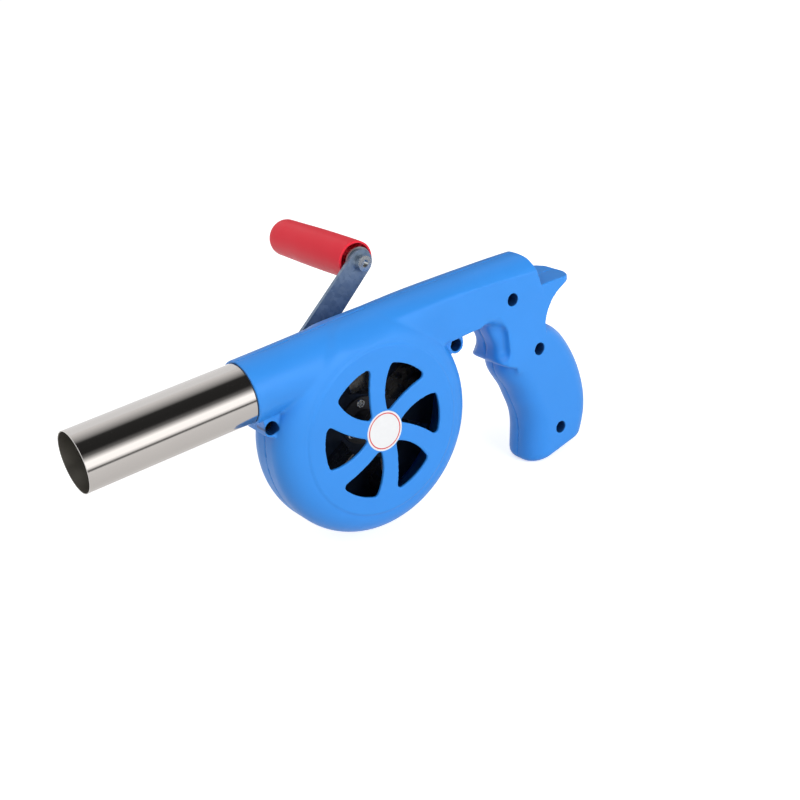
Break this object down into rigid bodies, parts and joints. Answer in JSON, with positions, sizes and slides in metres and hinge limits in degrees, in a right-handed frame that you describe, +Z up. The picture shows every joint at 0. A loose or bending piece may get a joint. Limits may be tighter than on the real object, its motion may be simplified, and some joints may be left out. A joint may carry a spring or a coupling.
{
  "type": "hand crank fan",
  "caption": "Hand cranked barbecue fan: blue plastic pistol shaped blower, bright steel tube, steel crank arm with a red turning knob",
  "frame": {"origin": "centre of the blast tube's mouth", "axes": "+X back along the tube to the grip, +Y from the intake face to the crank side, +Z up"},
  "size_m": [0.2908, 0.1219, 0.1454],
  "materials": {
    "case_plastic": "satin moulded plastic, bright blue",
    "polished_steel": "thin rolled steel, polished bright",
    "dark_steel": "blackened steel",
    "label_stock": "plain white adhesive label",
    "zinc_steel": "bright zinc plated steel",
    "bush_brass": "turned brass",
    "gear_nylon": "natural nylon",
    "galvanised_steel": "galvanised sheet with a mottled spangle",
    "knob_plastic": "satin moulded plastic, red"
  },
  "bodies": {
    "case": {"front_shell": "case_plastic", "rear_shell": "case_plastic", "blast_tube": "polished_steel", "case_screws": "dark_steel", "hub_label": "label_stock", "gear_plate": "zinc_steel", "gear_plate_screws": "zinc_steel", "compound_shaft": "polished_steel", "front_bush": "bush_brass", "rear_bush": "bush_brass", "crank_bush": "bush_brass", "plate_bush": "bush_brass"},
    "crank": {"crank_shaft": "zinc_steel", "drive_gear": "gear_nylon", "crank_arm": "galvanised_steel", "crank_nut": "zinc_steel", "handle_pin": "zinc_steel", "handle_washer": "zinc_steel", "handle_nut": "zinc_steel"},
    "knob": {"handle_knob": "knob_plastic"},
    "compound": {"compound_gear": "gear_nylon"},
    "impeller": {"impeller_shaft": "polished_steel", "impeller_pinion": "bush_brass", "impeller_back_plate": "galvanised_steel", "impeller_blades": "galvanised_steel", "impeller_hub": "gear_nylon", "hub_rivets": "zinc_steel"}
  },
  "joints": [
    {"name": "crank_spin", "type": "hinge", "parent": "case", "child": "crank", "pos_m": [0.126, 0.02, -0.0125], "axis": [0, 1, 0], "continuous": true},
    {"name": "knob_spin", "type": "hinge", "parent": "crank", "child": "knob", "pos_m": [0.17814, 0.06, 0.02957], "axis": [0, 1, 0], "continuous": true},
    {"name": "compound_spin", "type": "hinge", "parent": "case", "child": "compound", "pos_m": [0.14753, 0.011, -0.0247], "axis": [0, 1, 0], "continuous": true},
    {"name": "impeller_spin", "type": "hinge", "parent": "case", "child": "impeller", "pos_m": [0.1479, 0, -0.0397], "axis": [0, 1, 0], "continuous": true}
  ],
  "couplings": [
    {"joint": "compound_spin", "follows": "crank_spin", "ratio": -4.5},
    {"joint": "impeller_spin", "follows": "crank_spin", "ratio": 18}
  ]
}
